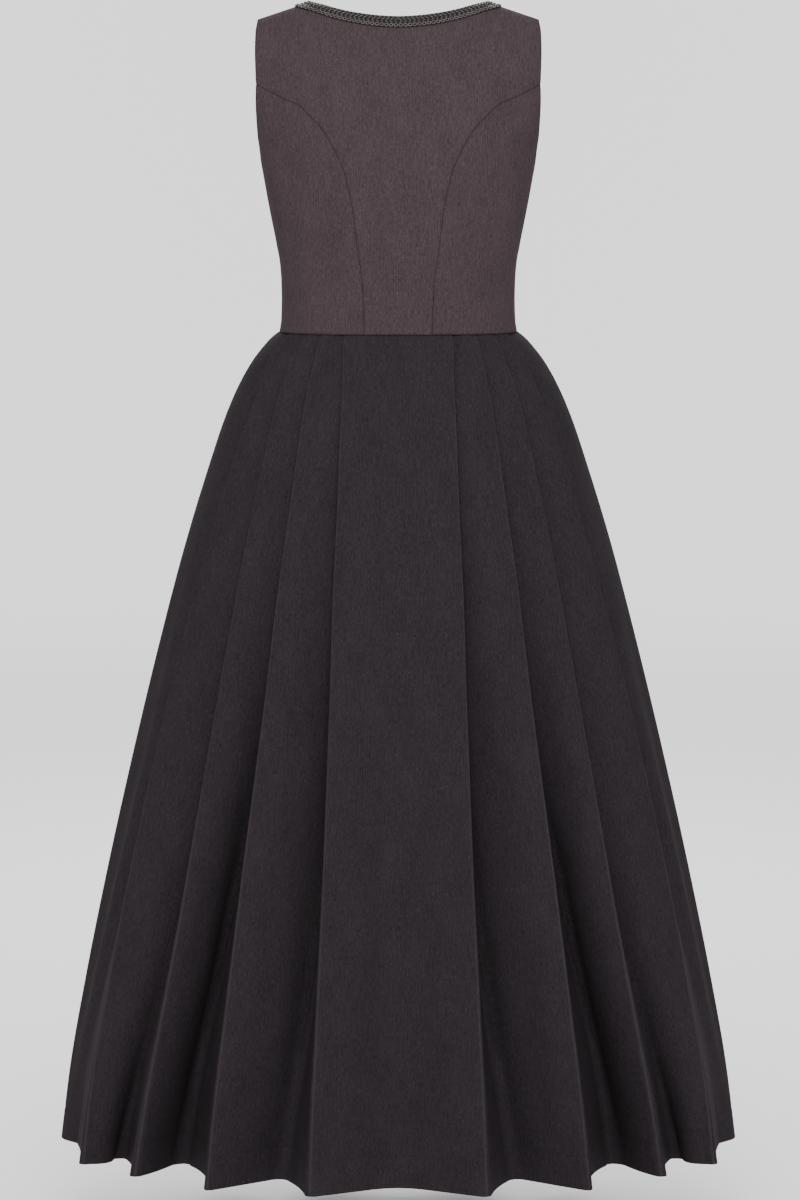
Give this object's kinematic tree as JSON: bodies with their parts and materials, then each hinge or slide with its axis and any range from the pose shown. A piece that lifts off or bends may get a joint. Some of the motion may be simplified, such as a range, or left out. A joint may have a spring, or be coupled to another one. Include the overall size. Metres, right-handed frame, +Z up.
{
  "type": "dirndl",
  "caption": "Sleeveless full-length dirndl: fitted princess-seamed bodice with a braided neckline, and a skirt laid in knife pleats.",
  "frame": {"origin": "between the tops of the two shoulders, where the wearer carries the dress", "axes": "+Z up, -Y the way the wearer faces, +X the wearer's left side"},
  "size_m": [0.788, 0.6194, 1.3173],
  "materials": {
    "bodice_cloth": "soft fine wool, taupe-grey melange with fine upright streaks",
    "skirt_cloth": "soft wool, charcoal-brown melange",
    "braid_yarn": "olive-grey braid with a slight sheen"
  },
  "bodies": {
    "root": {"bodice_back_center": "bodice_cloth", "bodice_back_side_left": "bodice_cloth", "bodice_back_side_right": "bodice_cloth", "bodice_front_side_left": "bodice_cloth", "bodice_front_side_right": "bodice_cloth", "bodice_front_center_left": "bodice_cloth", "bodice_front_center_right": "bodice_cloth", "neck_braid": "braid_yarn", "skirt_back": "skirt_cloth", "skirt_front_left": "skirt_cloth", "skirt_front_right": "skirt_cloth"}
  },
  "joints": []
}
